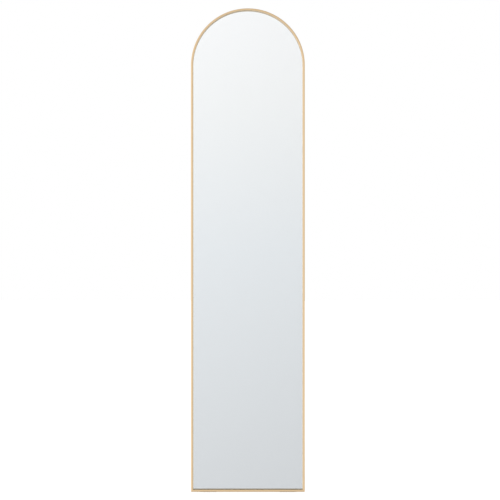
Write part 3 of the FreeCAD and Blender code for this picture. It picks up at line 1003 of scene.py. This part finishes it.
# ---------------------------------------------------------------- D rings
# Three-millimetre zinc-plated wire, bent to a D. The straight bar turns in the strap's fold, and
# the round part hangs over the strap and lifts to take a hook.
ring_axis_y = 8.9 * mm         # the bar's middle
ring_wire = 1.5 * mm           # radius
ring_half_width = 13.5 * mm    # to the wire's middle
ring_bend = 3.5 * mm
ring_drop = 6.5 * mm           # from the bar to the middle of the half round
ring_rest_gap = 0.4 * mm       # between the strap and the ring that hangs over it
half_round_share = 0.9995      # of the half width, so that the two lower bends don't meet
ring_bend_steps = 20
wire_sides = 24
ring_lift = panel_back + 2 * strap_sheet + ring_rest_gap + ring_wire - ring_axis_y
ring_reach = ring_drop + math.sqrt(ring_half_width ** 2 - strap_half_width ** 2)
ring_lean = math.asin(ring_lift / ring_reach)


def ring_tree():
    """Sweeps a round wire along a D with two small upper bends and a half round below."""
    tree, given, output = new_tree("bent_ring", [
        ("Half Width", "Float"), ("Drop", "Float"), ("Bend", "Float"), ("Wire", "Float"),
        ("Lean", "Float"), ("Centre", "Vector"), ("Material", "Material")])
    half = given["Half Width"]
    width = maths(tree, "MULTIPLY", half, 2)
    depth = maths(tree, "ADD", given["Drop"], half)
    path = node(tree, "GeometryNodeCurvePrimitiveQuadrilateral",
                {"Width": width, "Height": depth}).outputs[0]
    here = parts_of(tree, node(tree, "GeometryNodeInputPosition").outputs[0])
    upper = maths(tree, "GREATER_THAN", here["Y"], 0.0)
    below = maths(tree, "MULTIPLY", half, half_round_share)
    fillet = maths(tree, "MULTIPLY_ADD", upper, maths(tree, "SUBTRACT", given["Bend"], below),
                   below)
    path = node(tree, "GeometryNodeFilletCurve",
                {"Curve": path, "Count": ring_bend_steps, "Radius": fillet},
                mode="POLY").outputs[0]
    round_wire = node(tree, "GeometryNodeCurvePrimitiveCircle",
                      {"Resolution": wire_sides, "Radius": given["Wire"]}).outputs[0]
    ring = node(tree, "GeometryNodeCurveToMesh",
                {"Curve": path, "Profile Curve": round_wire}).outputs[0]
    upright = node(tree, "GeometryNodeTransform",
                   {"Geometry": ring, "Rotation": (math.pi / 2, 0.0, 0.0),
                    "Translation": point_at(tree, 0.0, 0.0,
                                            maths(tree, "MULTIPLY", depth, -0.5))}).outputs[0]
    hung = node(tree, "GeometryNodeTransform",
                {"Geometry": upright, "Translation": given["Centre"],
                 "Rotation": point_at(tree, given["Lean"], 0.0, 0.0)}).outputs[0]
    whole = node(tree, "GeometryNodeRealizeInstances", {"Geometry": hung}).outputs[0]
    whole = node(tree, "GeometryNodeSetMaterial",
                 {"Geometry": whole, "Material": given["Material"]}).outputs[0]
    tree.links.new(whole, output["Geometry"])
    return tree


ring_shape = ring_tree()
for side, x in (("left", -hanger_x), ("right", hanger_x)):
    ring = made_by(ring_shape, "d_ring_" + side, bpy.data.meshes.new("ring"), {
        "Half Width": ring_half_width, "Drop": ring_drop, "Bend": ring_bend, "Wire": ring_wire,
        "Lean": ring_lean, "Centre": (x, ring_axis_y, hanger_z), "Material": zinc}, sharp=60)
    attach(ring, "ring_" + side)
    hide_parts("hanger_ring_" + side)


# ---------------------------------------------------------------- clear pads
# Soft clear polyurethane. Round domed bumpers on the head and low on the sides touch the wall,
# and two thin strips under the foot rail keep it from sliding.
bumper_radius = 3.2 * mm
bumper_height = 1.5 * mm
bumper_turn = math.radians(35) # either side of the top of the head
bumper_foot = 150 * mm         # height of the lower ones
bumper_dome = [(1.0, 0.35), (0.985, 0.65), (0.93, 0.95), (0.83, 1.2), (0.68, 1.38),
               (0.5, 1.47)]    # share of the radius, and millimetres off the frame
bumper_flat = 0.3              # share of the radius that is flat on top
pad_grey = (0.90, 0.92, 0.90)
pad_clear = (0.97, 0.98, 0.97)


def clear_polyurethane():
    """Clear but hazy, so half the light that enters is scattered."""
    material, tree, shader = surface("clear_polyurethane", IOR=1.49, Transmission_Weight=0.5)
    place = node(tree, "ShaderNodeTexCoord").outputs["Object"]
    haze = noise(tree, place, scale=500.0, detail=3.0)
    link(tree, mixed(tree, haze, pad_grey, pad_clear), shader, "Base Color")
    link(tree, ranged(tree, haze, 0.10, 0.26, start=0.3, end=0.7), shader, "Roughness")
    return material


clear_pad = clear_polyurethane()
face_middle = half_width - face_width / 2
bumper_points = []
for side in (-1, 1):
    bumper_points.append((side * face_middle * math.sin(bumper_turn), frame_back,
                          spring_height + face_middle * math.cos(bumper_turn)))
    bumper_points.append((side * face_middle, frame_back, bumper_foot))
bumper = new_piece("bumper", lathe("bumper", [
    (0, 0), (bumper_radius, 0),
    *((bumper_radius * share, rise * mm) for share, rise in bumper_dome),
    (bumper_radius * bumper_flat, bumper_height), (0, bumper_height)]))
bumpers = set_at(bumper_points, "round_bumpers", bumper, clear_pad)
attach(bumpers, "mirror")
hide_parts("wall_bumpers")
give("floor_pads", clear_pad)
